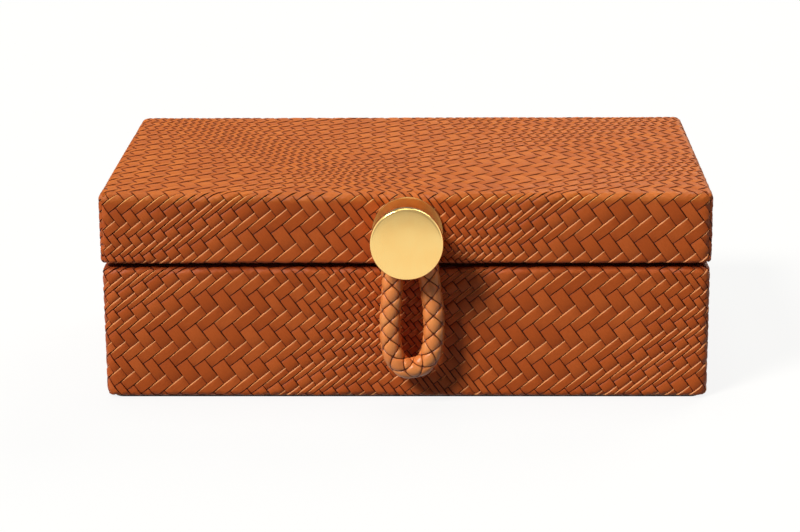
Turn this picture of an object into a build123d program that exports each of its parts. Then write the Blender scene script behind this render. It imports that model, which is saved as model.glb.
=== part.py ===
from build123d import *
from math import pi, radians, tan
import os

# A lidded box for letters, cards and keepsakes. Rigid boards are covered outside in one woven
# leather sheet for the base and one for the lid, and lined inside with suede-covered boards. The
# lid turns on two small butt hinges along the back. A brass spool knob stands on the front of the
# lid, and a loop of round braided leather hangs on the knob's neck.
#
# Millimetres. +Z is up and the front faces -Y. The origin is the middle of the underside, on the
# surface that the box stands on.

# ---------------------------------------------------------------- driving dimensions

# Outside of the closed box
BOX_WIDTH = 254.0
BOX_DEPTH = 152.4
BOX_HEIGHT = 88.9
RIM_HEIGHT = 57.0  # top of the base's leather-covered rim
RIM_GAP = 2.0  # dark line between base and lid, as thick as the folded hinge
LID_OVERHANG = 0.5  # the lid stands out past the base by this much on each side
CORNER_RADIUS = 4.0  # the four upright corners
LID_TOP_ROUNDING = 3.0
LID_RIM_ROUNDING = 1.5
BASE_RIM_ROUNDING = 2.2
BASE_FOOT_ROUNDING = 2.0

# Sheet and board
LEATHER = 1.2
BOARD = 5.0
LINING = 2.0
PADDING = 3.0  # padded linings of the floor and of the lid's top
PADDING_ROUNDING = 1.2
LINING_ROUNDING = 0.6
COLLAR_HEIGHT = 4.5  # the base's wall linings stand this far above its rim
COLLAR_GAP = 0.3  # from the collar to the lid's linings above it
TURN_UNDER = 14.0  # leather folded under the floor board
PAD_THICKNESS = 1.0
PAD_INSET = 3.0

# Hinges
HINGE_SPREAD = 150.0  # between the middles of the two hinges
LEAF_LENGTH = 30.0
LEAF_WIDTH = 5.6
LEAF_THICKNESS = 0.9
BARREL_RADIUS = 2.0
PIN_RADIUS = 0.8
PIN_CLEARANCE = 0.05
KNUCKLE_GAP = 0.2
HINGE_STANDOFF = 2.3  # pin axis behind the lid's back face
LEAF_TO_BARREL = 0.3  # from the flat of a leaf to the other leaf's knuckle

# Hinge screws
SCREW_SPACING = 18.0
SCREW_LENGTH = 8.0
SCREW_RADIUS = 0.8
SCREW_HEAD_RADIUS = 1.5
SCREW_SINK = 0.05  # head below the leaf's face
SCREW_SLOT_WIDTH = 0.4
SCREW_SLOT_DEPTH = 0.3
SCREW_CLEARANCE = 0.05

# Knob, on the front of the lid
KNOB_X = 1.0
KNOB_Z = 73.1
FLANGE_RADIUS = 14.6
FLANGE_THICKNESS = 1.8
FLANGE_ROUNDING = 0.6
NECK_RADIUS = 3.0
NECK_LENGTH = 16.2
DISC_RADIUS = 15.0
DISC_THICKNESS = 4.0
DISC_ROUNDING = 1.0
DISC_DOME = 0.4
BOLT_RADIUS = 2.0
BOLT_CLEARANCE = 0.1
BOLT_DEPTH_IN_DISC = 2.4
BOLT_HEAD_RADIUS = 3.75
BOLT_HEAD_HEIGHT = 2.4
BOLT_HEAD_ROUNDING = 0.8
BOLT_SLOT_WIDTH = 1.0
BOLT_SLOT_DEPTH = 1.1
WASHER_RADIUS = 5.0
WASHER_THICKNESS = 1.0

# Pull loop
CORD_DIAMETER = 9.2
CORD_FROM_LID = 9.0  # from the lid's front face to the middle of the cord
CORD_END_GAP = 0.2  # between the two cut ends, which are sewn together
NECK_TO_CORD = 0.3

# ---------------------------------------------------------------- levels and faces

HINGE_Z = RIM_HEIGHT + RIM_GAP / 2
LID_RIM_Z = RIM_HEIGHT + RIM_GAP
FRONT_Y = -BOX_DEPTH / 2
HINGE_Y = BOX_DEPTH / 2 + HINGE_STANDOFF

BASE_WIDTH = BOX_WIDTH - 2 * LID_OVERHANG
BASE_DEPTH = BOX_DEPTH - 2 * LID_OVERHANG
BASE_FOOT_Z = PAD_THICKNESS
FLOOR_BOARD_Z = BASE_FOOT_Z + LEATHER
FLOOR_TOP_Z = FLOOR_BOARD_Z + BOARD
BASE_BOARD_TOP_Z = RIM_HEIGHT - LEATHER
COLLAR_TOP_Z = RIM_HEIGHT + COLLAR_HEIGHT

LID_BOARD_FOOT_Z = LID_RIM_Z + LEATHER
LID_BOARD_TOP_Z = BOX_HEIGHT - LEATHER
LID_CEILING_Z = LID_BOARD_TOP_Z - BOARD
LID_LINING_FOOT_Z = COLLAR_TOP_Z + COLLAR_GAP

os.makedirs("parts", exist_ok=True)


def save(piece, name):
    """Label a finished piece and write it under its own name."""
    piece.part.label = name
    export_step(piece.part, f"parts/{name}.step")


def rounded_block(width, depth, low, high, corner, low_rounding, high_rounding):
    """A block with rounded upright corners and rounded lower and upper edges."""
    with BuildPart() as block:
        with BuildSketch(Plane.XY.offset(low)):
            RectangleRounded(width, depth, corner)
        extrude(amount=high - low)
        fillet(block.faces().sort_by(Axis.Z)[-1].edges(), high_rounding)
        fillet(block.faces().sort_by(Axis.Z)[0].edges(), low_rounding)
    return block.part


def wall_plans(width, depth, thickness):
    """Centre and size of four butt-jointed walls: the front and back run the full width."""
    across = (width - thickness) / 2
    along = (depth - thickness) / 2
    side_length = depth - 2 * thickness
    return {
        "front": ((0, -along), (width, thickness)),
        "back": ((0, along), (width, thickness)),
        "left": ((-across, 0), (thickness, side_length)),
        "right": ((across, 0), (thickness, side_length)),
    }


# ---------------------------------------------------------------- hinge and screw places

HINGES = {"left": -HINGE_SPREAD / 2, "right": HINGE_SPREAD / 2}
LEAF_BACK_Y = HINGE_Y - BARREL_RADIUS - LEAF_TO_BARREL
LEAF_MIDDLE_Y = LEAF_BACK_Y - LEAF_WIDTH / 2
SCREW_Y = BASE_DEPTH / 2 - LEATHER - BOARD / 2
SCREW_PLACES = [
    (hinge_x + side * SCREW_SPACING / 2, SCREW_Y)
    for hinge_x in HINGES.values()
    for side in (-1, 1)
]
SCREW_HOLE_RADIUS = SCREW_RADIUS + SCREW_CLEARANCE
SCREW_HOLE_DEPTH = SCREW_LENGTH
KNOB_HOLE_RADIUS = BOLT_RADIUS + BOLT_CLEARANCE
KNOB_AXIS_FRONT = Plane(origin=(KNOB_X, FRONT_Y, KNOB_Z), x_dir=(1, 0, 0), z_dir=(0, -1, 0))

# ---------------------------------------------------------------- base

BASE_CORE_CORNER = CORNER_RADIUS - LEATHER
base_outside = rounded_block(
    BASE_WIDTH,
    BASE_DEPTH,
    BASE_FOOT_Z,
    RIM_HEIGHT,
    CORNER_RADIUS,
    BASE_FOOT_ROUNDING,
    BASE_RIM_ROUNDING,
)
base_core = rounded_block(
    BASE_WIDTH - 2 * LEATHER,
    BASE_DEPTH - 2 * LEATHER,
    FLOOR_BOARD_Z,
    BASE_BOARD_TOP_Z,
    BASE_CORE_CORNER,
    BASE_FOOT_ROUNDING - LEATHER,
    BASE_RIM_ROUNDING - LEATHER,
)

# Woven leather round the four sides, turned over the rim and under the floor board
with BuildPart() as base_cover:
    add(base_outside)
    add(base_core, mode=Mode.SUBTRACT)
    with BuildSketch(Plane.XY.offset(BASE_BOARD_TOP_Z)):
        Rectangle(BASE_WIDTH - 2 * (LEATHER + BOARD), BASE_DEPTH - 2 * (LEATHER + BOARD))
    extrude(amount=LEATHER, mode=Mode.SUBTRACT)
    with BuildSketch(Plane.XY.offset(BASE_FOOT_Z)):
        Rectangle(BASE_WIDTH - 2 * TURN_UNDER, BASE_DEPTH - 2 * TURN_UNDER)
    extrude(amount=LEATHER, mode=Mode.SUBTRACT)
    with BuildSketch(Plane.XY.offset(BASE_BOARD_TOP_Z)):
        with Locations(*SCREW_PLACES):
            Circle(SCREW_HOLE_RADIUS)
    extrude(amount=LEATHER, mode=Mode.SUBTRACT)
save(base_cover, "base_cover")

with BuildPart() as base_floor_board:
    add(base_core)
    with BuildSketch(Plane.XY.offset(FLOOR_TOP_Z)):
        Rectangle(BASE_WIDTH, BASE_DEPTH)
    extrude(amount=BASE_BOARD_TOP_Z - FLOOR_TOP_Z, mode=Mode.SUBTRACT)
save(base_floor_board, "base_floor_board")

base_walls = wall_plans(BASE_WIDTH - 2 * LEATHER, BASE_DEPTH - 2 * LEATHER, BOARD)
for side, (centre, size) in base_walls.items():
    with BuildPart() as base_board:
        with BuildSketch(Plane.XY.offset(FLOOR_TOP_Z)):
            with Locations(centre):
                Rectangle(*size)
        extrude(amount=BASE_BOARD_TOP_Z - FLOOR_TOP_Z)
        add(base_core, mode=Mode.INTERSECT)
        if side == "back":
            with BuildSketch(Plane.XY.offset(BASE_BOARD_TOP_Z)):
                with Locations(*SCREW_PLACES):
                    Circle(SCREW_HOLE_RADIUS)
            extrude(amount=-SCREW_HOLE_DEPTH, mode=Mode.SUBTRACT)
    save(base_board, f"base_{side}_board")

# Suede-covered lining boards. They stand proud of the rim as a collar that the lid closes over.
BASE_ROOM_WIDTH = BASE_WIDTH - 2 * (LEATHER + BOARD)
BASE_ROOM_DEPTH = BASE_DEPTH - 2 * (LEATHER + BOARD)
for side, (centre, size) in wall_plans(BASE_ROOM_WIDTH, BASE_ROOM_DEPTH, LINING).items():
    with BuildPart() as base_lining:
        with BuildSketch(Plane.XY.offset(FLOOR_TOP_Z)):
            with Locations(centre):
                Rectangle(*size)
        extrude(amount=COLLAR_TOP_Z - FLOOR_TOP_Z)
        long_axis = Axis.X if side in ("front", "back") else Axis.Y
        top_edges = base_lining.faces().sort_by(Axis.Z)[-1].edges().filter_by(long_axis)
        fillet(top_edges, LINING_ROUNDING)
    save(base_lining, f"base_{side}_lining")

# Padded floor lining
with BuildPart() as base_floor_lining:
    with BuildSketch(Plane.XY.offset(FLOOR_TOP_Z)):
        Rectangle(BASE_ROOM_WIDTH - 2 * LINING, BASE_ROOM_DEPTH - 2 * LINING)
    extrude(amount=PADDING)
    fillet(base_floor_lining.faces().sort_by(Axis.Z)[-1].edges(), PADDING_ROUNDING)
save(base_floor_lining, "base_floor_lining")

# Suede pad glued under the base. Its raised middle fills the frame of turned-under leather.
with BuildPart() as underside_pad:
    with BuildSketch():
        RectangleRounded(
            BASE_WIDTH - 2 * PAD_INSET, BASE_DEPTH - 2 * PAD_INSET, CORNER_RADIUS
        )
    extrude(amount=PAD_THICKNESS)
    with BuildSketch(Plane.XY.offset(PAD_THICKNESS)):
        Rectangle(BASE_WIDTH - 2 * TURN_UNDER, BASE_DEPTH - 2 * TURN_UNDER)
    extrude(amount=LEATHER)
save(underside_pad, "underside_pad")

# ---------------------------------------------------------------- lid

LID_CORE_CORNER = CORNER_RADIUS - LEATHER
lid_outside = rounded_block(
    BOX_WIDTH,
    BOX_DEPTH,
    LID_RIM_Z,
    BOX_HEIGHT,
    CORNER_RADIUS,
    LID_RIM_ROUNDING,
    LID_TOP_ROUNDING,
)
lid_core = rounded_block(
    BOX_WIDTH - 2 * LEATHER,
    BOX_DEPTH - 2 * LEATHER,
    LID_BOARD_FOOT_Z,
    LID_BOARD_TOP_Z,
    LID_CORE_CORNER,
    LID_RIM_ROUNDING - LEATHER,
    LID_TOP_ROUNDING - LEATHER,
)
LID_ROOM_WIDTH = BOX_WIDTH - 2 * (LEATHER + BOARD)
LID_ROOM_DEPTH = BOX_DEPTH - 2 * (LEATHER + BOARD)

# Woven leather over the top and the four sides, turned over the lower rim
with BuildPart() as lid_cover:
    add(lid_outside)
    add(lid_core, mode=Mode.SUBTRACT)
    with BuildSketch(Plane.XY.offset(LID_RIM_Z)):
        Rectangle(LID_ROOM_WIDTH, LID_ROOM_DEPTH)
        with Locations(*SCREW_PLACES):
            Circle(SCREW_HOLE_RADIUS)
    extrude(amount=LEATHER, mode=Mode.SUBTRACT)
    with BuildSketch(KNOB_AXIS_FRONT):
        Circle(KNOB_HOLE_RADIUS)
    extrude(amount=-LEATHER, mode=Mode.SUBTRACT)
save(lid_cover, "lid_cover")

with BuildPart() as lid_top_board:
    add(lid_core)
    with BuildSketch(Plane.XY.offset(LID_CEILING_Z)):
        Rectangle(BOX_WIDTH, BOX_DEPTH)
    extrude(amount=LID_BOARD_FOOT_Z - LID_CEILING_Z, mode=Mode.SUBTRACT)
save(lid_top_board, "lid_top_board")

lid_walls = wall_plans(BOX_WIDTH - 2 * LEATHER, BOX_DEPTH - 2 * LEATHER, BOARD)
for side, (centre, size) in lid_walls.items():
    with BuildPart() as lid_board:
        with BuildSketch(Plane.XY.offset(LID_BOARD_FOOT_Z)):
            with Locations(centre):
                Rectangle(*size)
        extrude(amount=LID_CEILING_Z - LID_BOARD_FOOT_Z)
        add(lid_core, mode=Mode.INTERSECT)
        if side == "back":
            with BuildSketch(Plane.XY.offset(LID_BOARD_FOOT_Z)):
                with Locations(*SCREW_PLACES):
                    Circle(SCREW_HOLE_RADIUS)
            extrude(amount=SCREW_HOLE_DEPTH, mode=Mode.SUBTRACT)
        if side == "front":
            with BuildSketch(KNOB_AXIS_FRONT):
                Circle(KNOB_HOLE_RADIUS)
            extrude(amount=-(LEATHER + BOARD), mode=Mode.SUBTRACT)
    save(lid_board, f"lid_{side}_board")

# Suede-covered lining boards, which stop just above the collar
for side, (centre, size) in wall_plans(LID_ROOM_WIDTH, LID_ROOM_DEPTH, LINING).items():
    with BuildPart() as lid_lining:
        with BuildSketch(Plane.XY.offset(LID_LINING_FOOT_Z)):
            with Locations(centre):
                Rectangle(*size)
        extrude(amount=LID_CEILING_Z - LID_LINING_FOOT_Z)
        long_axis = Axis.X if side in ("front", "back") else Axis.Y
        foot_edges = lid_lining.faces().sort_by(Axis.Z)[0].edges().filter_by(long_axis)
        fillet(foot_edges, LINING_ROUNDING)
        if side == "front":
            with BuildSketch(KNOB_AXIS_FRONT):
                Circle(KNOB_HOLE_RADIUS)
            extrude(amount=-(LEATHER + BOARD + LINING), mode=Mode.SUBTRACT)
    save(lid_lining, f"lid_{side}_lining")

# Padded lining under the lid's top
with BuildPart() as lid_top_lining:
    with BuildSketch(Plane.XY.offset(LID_CEILING_Z - PADDING)):
        Rectangle(LID_ROOM_WIDTH - 2 * LINING, LID_ROOM_DEPTH - 2 * LINING)
    extrude(amount=PADDING)
    fillet(lid_top_lining.faces().sort_by(Axis.Z)[0].edges(), PADDING_ROUNDING)
save(lid_top_lining, "lid_top_lining")

# ---------------------------------------------------------------- hinges

# Each hinge has three knuckles: the outer two on the lower leaf, the middle one on the upper.
KNUCKLE_LENGTH = (LEAF_LENGTH - 2 * KNUCKLE_GAP) / 3
KNUCKLE_STEP = KNUCKLE_LENGTH + KNUCKLE_GAP
WEB_WIDTH = HINGE_Y - LEAF_BACK_Y
WEB_MIDDLE_Y = (HINGE_Y + LEAF_BACK_Y) / 2


def hinge_leaf(hinge_x, leaf_z, knuckle_offsets, bore_radius, sink_side):
    """A flat leaf with its knuckles. sink_side is 1 where the screw heads sink in from above."""
    with BuildPart() as leaf:
        with BuildSketch(Plane.XY.offset(leaf_z)):
            with Locations((hinge_x, LEAF_MIDDLE_Y)):
                Rectangle(LEAF_LENGTH, LEAF_WIDTH)
            with Locations(*[(hinge_x + offset, WEB_MIDDLE_Y) for offset in knuckle_offsets]):
                Rectangle(KNUCKLE_LENGTH, WEB_WIDTH)
        extrude(amount=LEAF_THICKNESS)
        for offset in knuckle_offsets:
            with BuildSketch(Plane.YZ.offset(hinge_x + offset - KNUCKLE_LENGTH / 2)):
                with Locations((HINGE_Y, HINGE_Z)):
                    Circle(BARREL_RADIUS)
            extrude(amount=KNUCKLE_LENGTH)
        with BuildSketch(Plane.YZ.offset(hinge_x - LEAF_LENGTH / 2)):
            with Locations((HINGE_Y, HINGE_Z)):
                Circle(bore_radius)
        extrude(amount=LEAF_LENGTH, mode=Mode.SUBTRACT)
        sink_z = leaf_z + LEAF_THICKNESS if sink_side > 0 else leaf_z
        flip = 0 if sink_side > 0 else 180
        hole_places = [
            Location((hinge_x + side * SCREW_SPACING / 2, SCREW_Y, sink_z), (flip, 0, 0))
            for side in (-1, 1)
        ]
        with Locations(*hole_places):
            CounterSinkHole(SCREW_HOLE_RADIUS, SCREW_HEAD_RADIUS + SCREW_SINK, LEAF_THICKNESS, 90)
    return leaf


for side, hinge_x in HINGES.items():
    lower_leaf = hinge_leaf(hinge_x, RIM_HEIGHT, (-KNUCKLE_STEP, KNUCKLE_STEP), PIN_RADIUS, 1)
    save(lower_leaf, f"hinge_{side}_lower_leaf")
    upper_leaf = hinge_leaf(
        hinge_x, LID_RIM_Z - LEAF_THICKNESS, (0,), PIN_RADIUS + PIN_CLEARANCE, -1
    )
    save(upper_leaf, f"hinge_{side}_upper_leaf")
    with BuildPart() as hinge_pin:
        with BuildSketch(Plane.YZ.offset(hinge_x - LEAF_LENGTH / 2)):
            with Locations((HINGE_Y, HINGE_Z)):
                Circle(PIN_RADIUS)
        extrude(amount=LEAF_LENGTH)
    save(hinge_pin, f"hinge_{side}_pin")

# Slotted countersunk screw, its head's face at the origin and its point down
SCREW_CONE = SCREW_HEAD_RADIUS - SCREW_RADIUS
with BuildPart() as screw_pattern:
    with BuildSketch(Plane.XZ):
        with BuildLine():
            Polyline(
                (0, 0),
                (SCREW_HEAD_RADIUS, 0),
                (SCREW_RADIUS, -SCREW_CONE),
                (SCREW_RADIUS, SCREW_RADIUS - SCREW_LENGTH),
                (0, -SCREW_LENGTH),
                close=True,
            )
        make_face()
    revolve(axis=Axis.Z)
    with BuildSketch():
        Rectangle(2 * SCREW_HEAD_RADIUS, SCREW_SLOT_WIDTH)
    extrude(amount=-SCREW_SLOT_DEPTH, mode=Mode.SUBTRACT)

LOWER_HEAD_Z = RIM_HEIGHT + LEAF_THICKNESS - SCREW_SINK
with BuildPart() as hinge_lower_screws:
    with Locations(*[Location((x, y, LOWER_HEAD_Z)) for x, y in SCREW_PLACES]):
        add(screw_pattern.part)
save(hinge_lower_screws, "hinge_lower_screws")

UPPER_HEAD_Z = LID_RIM_Z - LEAF_THICKNESS + SCREW_SINK
with BuildPart() as hinge_upper_screws:
    with Locations(*[Location((x, y, UPPER_HEAD_Z), (180, 0, 0)) for x, y in SCREW_PLACES]):
        add(screw_pattern.part)
save(hinge_upper_screws, "hinge_upper_screws")

# ---------------------------------------------------------------- knob

# Distances along the knob are measured forwards from the lid's front face.
NECK_START = FLANGE_THICKNESS
DISC_BACK = NECK_START + NECK_LENGTH
DISC_FACE = DISC_BACK + DISC_THICKNESS
BOARD_INSIDE = LEATHER + BOARD + LINING  # lining's inner face, behind the front face
BOLT_HEAD_SEAT = BOARD_INSIDE + WASHER_THICKNESS
DOME_RADIUS = (DISC_RADIUS**2 + DISC_DOME**2) / (2 * DISC_DOME)
KNOB_PROFILE = Plane(origin=(KNOB_X, FRONT_Y, KNOB_Z), x_dir=(1, 0, 0), z_dir=(0, 0, -1))

with BuildPart() as knob_flange:
    with BuildSketch(KNOB_AXIS_FRONT):
        Circle(FLANGE_RADIUS)
    extrude(amount=FLANGE_THICKNESS)
    fillet(knob_flange.faces().sort_by(Axis.Y)[0].edges(), FLANGE_ROUNDING)
    with BuildSketch(KNOB_AXIS_FRONT):
        Circle(KNOB_HOLE_RADIUS)
    extrude(amount=FLANGE_THICKNESS, mode=Mode.SUBTRACT)
save(knob_flange, "knob_flange")

with BuildPart() as knob_neck:
    with BuildSketch(KNOB_AXIS_FRONT.offset(NECK_START)):
        Circle(NECK_RADIUS)
        Circle(KNOB_HOLE_RADIUS, mode=Mode.SUBTRACT)
    extrude(amount=NECK_LENGTH)
save(knob_neck, "knob_neck")

# The disc is turned: a flat back, a rounded rim and a slightly domed face.
with BuildPart() as knob_disc:
    with BuildSketch(KNOB_PROFILE) as disc_profile:
        with BuildLine():
            Polyline(
                (0, DISC_FACE + DISC_DOME),
                (0, DISC_BACK),
                (DISC_RADIUS, DISC_BACK),
                (DISC_RADIUS, DISC_FACE),
            )
            RadiusArc((DISC_RADIUS, DISC_FACE), (0, DISC_FACE + DISC_DOME), -DOME_RADIUS)
        make_face()
        fillet(disc_profile.vertices().group_by(Axis.X)[-1], DISC_ROUNDING)
    revolve(axis=Axis((KNOB_X, FRONT_Y, KNOB_Z), (0, 1, 0)))
    with BuildSketch(KNOB_AXIS_FRONT.offset(DISC_BACK)):
        Circle(BOLT_RADIUS)
    extrude(amount=BOLT_DEPTH_IN_DISC, mode=Mode.SUBTRACT)
save(knob_disc, "knob_disc")

with BuildPart() as knob_washer:
    with BuildSketch(KNOB_AXIS_FRONT.offset(-BOARD_INSIDE)):
        Circle(WASHER_RADIUS)
        Circle(KNOB_HOLE_RADIUS, mode=Mode.SUBTRACT)
    extrude(amount=-WASHER_THICKNESS)
save(knob_washer, "knob_washer")

# Pan-head machine screw from inside the lid, through the flange and neck into the disc
with BuildPart() as knob_screw:
    with BuildSketch(KNOB_AXIS_FRONT.offset(-BOLT_HEAD_SEAT)):
        Circle(BOLT_HEAD_RADIUS)
    extrude(amount=-BOLT_HEAD_HEIGHT)
    fillet(knob_screw.faces().sort_by(Axis.Y)[-1].edges(), BOLT_HEAD_ROUNDING)
    with BuildSketch(KNOB_AXIS_FRONT.offset(-BOLT_HEAD_SEAT - BOLT_HEAD_HEIGHT)):
        Rectangle(2 * BOLT_HEAD_RADIUS, BOLT_SLOT_WIDTH)
    extrude(amount=BOLT_SLOT_DEPTH, mode=Mode.SUBTRACT)
    with BuildSketch(KNOB_AXIS_FRONT.offset(-BOLT_HEAD_SEAT)):
        Circle(BOLT_RADIUS)
    extrude(amount=BOLT_HEAD_SEAT + DISC_BACK + BOLT_DEPTH_IN_DISC)
save(knob_screw, "knob_screw")

# ---------------------------------------------------------------- pull loop

# The middle of the cord lies in one upright plane. The route starts beside the neck, goes down
# the right leg, round the bottom, up the left leg and over the neck to the same place. Points
# are (x, z). Over the neck they stand on the corners of an octagon round the cord's bend.
NECK_BEND = NECK_RADIUS + NECK_TO_CORD + CORD_DIAMETER / 2
OCTAGON_HALF = NECK_BEND * tan(radians(22.5))
LOOP_Y = FRONT_Y - CORD_FROM_LID
LOOP_JOIN_X = 9.0
LOOP_JOIN_Z = 71.0
LOOP_ROUTE = [
    (LOOP_JOIN_X, LOOP_JOIN_Z),
    (9.3, 63.5),
    (10.2, 53.5),
    (11.9, 41.5),
    (11.9, 29.5),
    (10.4, 21.2),
    (5.2, 16.6),
    (-0.6, 16.6),
    (-4.9, 20.9),
    (-6.3, 29.3),
    (-6.2, 41.0),
    (-4.8, 53.0),
    (-5.9, 65.0),
    (KNOB_X - NECK_BEND, KNOB_Z + OCTAGON_HALF),
    (KNOB_X - OCTAGON_HALF, KNOB_Z + NECK_BEND),
    (KNOB_X + OCTAGON_HALF, KNOB_Z + NECK_BEND),
    (KNOB_X + NECK_BEND, KNOB_Z + OCTAGON_HALF),
    (LOOP_JOIN_X, LOOP_JOIN_Z + CORD_END_GAP),
]
BEND_SHARE = 0.45  # of the shorter run beside a bend


def bend_radii(route):
    """The largest bend that each corner's two runs allow."""
    radii = []
    for before, here, after in zip(route, route[1:], route[2:]):
        arriving = Vector(here[0] - before[0], here[1] - before[1])
        leaving = Vector(after[0] - here[0], after[1] - here[1])
        turn = arriving.get_angle(leaving)
        shorter = min(arriving.length, leaving.length)
        radii.append(BEND_SHARE * shorter / tan(radians(turn / 2)))
    return radii


loop_radii = bend_radii(LOOP_ROUTE)
with BuildPart() as pull_loop:
    with BuildLine():
        loop_path = FilletPolyline(*[(x, LOOP_Y, z) for x, z in LOOP_ROUTE], radius=loop_radii)
    with BuildSketch(Plane(origin=loop_path @ 0, z_dir=loop_path % 0)):
        Circle(CORD_DIAMETER / 2)
    sweep()
save(pull_loop, "pull_loop")

print("loop bend radii", [round(radius, 1) for radius in loop_radii])
print("loop length", round(loop_path.length, 1))
expected_volume = pi * (CORD_DIAMETER / 2) ** 2 * loop_path.length
print("loop volume", round(pull_loop.part.volume), "expected", round(expected_volume))
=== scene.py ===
from math import ceil, cos, floor, pi, radians, sin

import bmesh
import bpy
import numpy as np
from mathutils import Matrix, Vector


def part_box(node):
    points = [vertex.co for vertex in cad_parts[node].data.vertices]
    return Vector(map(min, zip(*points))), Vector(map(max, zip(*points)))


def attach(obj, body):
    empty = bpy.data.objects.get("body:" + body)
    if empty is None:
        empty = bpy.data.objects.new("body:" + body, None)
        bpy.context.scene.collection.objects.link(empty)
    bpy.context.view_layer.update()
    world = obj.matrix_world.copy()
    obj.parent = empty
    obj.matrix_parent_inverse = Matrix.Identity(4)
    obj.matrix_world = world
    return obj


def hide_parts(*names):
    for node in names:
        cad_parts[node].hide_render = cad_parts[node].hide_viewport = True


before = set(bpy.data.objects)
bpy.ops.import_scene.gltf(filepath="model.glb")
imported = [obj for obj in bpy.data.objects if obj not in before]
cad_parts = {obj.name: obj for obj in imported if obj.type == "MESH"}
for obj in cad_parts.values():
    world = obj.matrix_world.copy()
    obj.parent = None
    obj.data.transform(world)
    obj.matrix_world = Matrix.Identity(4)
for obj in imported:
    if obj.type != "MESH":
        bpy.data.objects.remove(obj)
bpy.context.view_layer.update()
MM = 0.001

# ---------------------------------------------------------------- camera
# A long lens a metre in front of the box, a little right of its middle and above it. It looks down
# at the box by 16 degrees. The angles are in radians.
EYE = (0.01972, -1.03193, 0.32506)
LOOK_RIGHT = -0.0229
LOOK_DOWN = 0.2723
LEAN = -0.0073
LENS_MM = 107.72

camera_data = bpy.data.cameras.new("camera")
camera_data.lens = LENS_MM
camera_data.sensor_width = 36.0
camera = bpy.data.objects.new("camera", camera_data)
camera.matrix_world = (
    Matrix.Translation(EYE)
    @ Matrix.Rotation(-LOOK_RIGHT, 4, "Z")
    @ Matrix.Rotation(pi / 2 - LOOK_DOWN, 4, "X")
    @ Matrix.Rotation(LEAN, 4, "Z")
)
bpy.context.collection.objects.link(camera)
bpy.context.scene.camera = camera

# ---------------------------------------------------------------- pull loop
# A round braid of six flat leather strands, three each way, each going over one and under one.
# It is one length, bent round the knob's neck, and its two ends are sewn together beside the neck.
LOOP_Y = -85.2 * MM
LOOP_ROUTE_MM = [
    (9.0, 71.0), (9.3, 63.5), (10.2, 53.5), (11.9, 41.5), (11.9, 29.5), (10.4, 21.2), (5.2, 16.6),
    (-0.6, 16.6), (-4.9, 20.9), (-6.3, 29.3), (-6.2, 41.0), (-4.8, 53.0), (-5.9, 65.0),
    (-6.9, 76.4), (-2.3, 81.0), (4.3, 81.0), (8.9, 76.4), (9.0, 71.2),
]
STRANDS_EACH_WAY = 3
CROSSING_ROWS = 38
GROOVE_RADIUS = 3.45 * MM
STRAND_RISE = 1.15 * MM
STRAND_ARCH = 0.55
STRAND_SQUARENESS = 4
STRAND_DIVE = 2.4
STRAND_LINES = (0.0, 0.03, 0.08, 0.17, 0.32, 0.5, 0.68, 0.83, 0.92, 0.97, 1.0)
STRAND_GROOVE = radians(20)
STRAND_WELD = 0.005 * MM
STRAND_TONES = (0.16, 0.34)
STRAND_TONE_SEED = 3
# Painted shade: the braid's colour darkens where the strands dive into the grooves between them.
CREASE_TINTS = [(0.0, (0.05, 0.02, 0.01)), (0.35, (0.32, 0.20, 0.15)), (0.60, (1, 1, 1))]
ROUTE_FINENESS = 48


def mesh_piece(name, vertices, faces, smooth=True):
    """A new object at the origin from lists or arrays of vertices and faces."""
    mesh = bpy.data.meshes.new(name)
    mesh.from_pydata([tuple(v) for v in vertices], [], [tuple(f) for f in faces])
    mesh.validate()
    if smooth:
        mesh.shade_smooth()
    else:
        mesh.shade_flat()
    piece = bpy.data.objects.new(name, mesh)
    bpy.context.collection.objects.link(piece)
    return piece


def plain_mesh(piece):
    """Turns a piece and its modifiers into one plain mesh."""
    depsgraph = bpy.context.evaluated_depsgraph_get()
    mesh = bpy.data.meshes.new_from_object(piece.evaluated_get(depsgraph))
    piece.modifiers.clear()
    piece.data = mesh
    return piece


def route_curve(name, places, fineness):
    """A smooth open curve with these places as its control points."""
    curve = bpy.data.curves.new(name, "CURVE")
    curve.dimensions = "3D"
    curve.resolution_u = fineness
    spline = curve.splines.new("NURBS")
    spline.points.add(len(places) - 1)
    for point, place in zip(spline.points, places):
        point.co = (*place, 1.0)
    spline.order_u = 3
    spline.use_endpoint_u = True
    route = bpy.data.objects.new(name, curve)
    bpy.context.collection.objects.link(route)
    return route


def curve_points(route):
    """Points along a curve without bevel, in order."""
    depsgraph = bpy.context.evaluated_depsgraph_get()
    mesh = bpy.data.meshes.new_from_object(route.evaluated_get(depsgraph))
    return [vertex.co.copy() for vertex in mesh.vertices]


def grid_quads(rows, columns):
    """The corner numbers of each quad in a grid of points, counted along its rows."""
    first = (np.arange(rows - 1)[:, None] * columns + np.arange(columns - 1)).ravel()
    return np.stack([first, first + columns, first + columns + 1, first + 1], 1)


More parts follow.
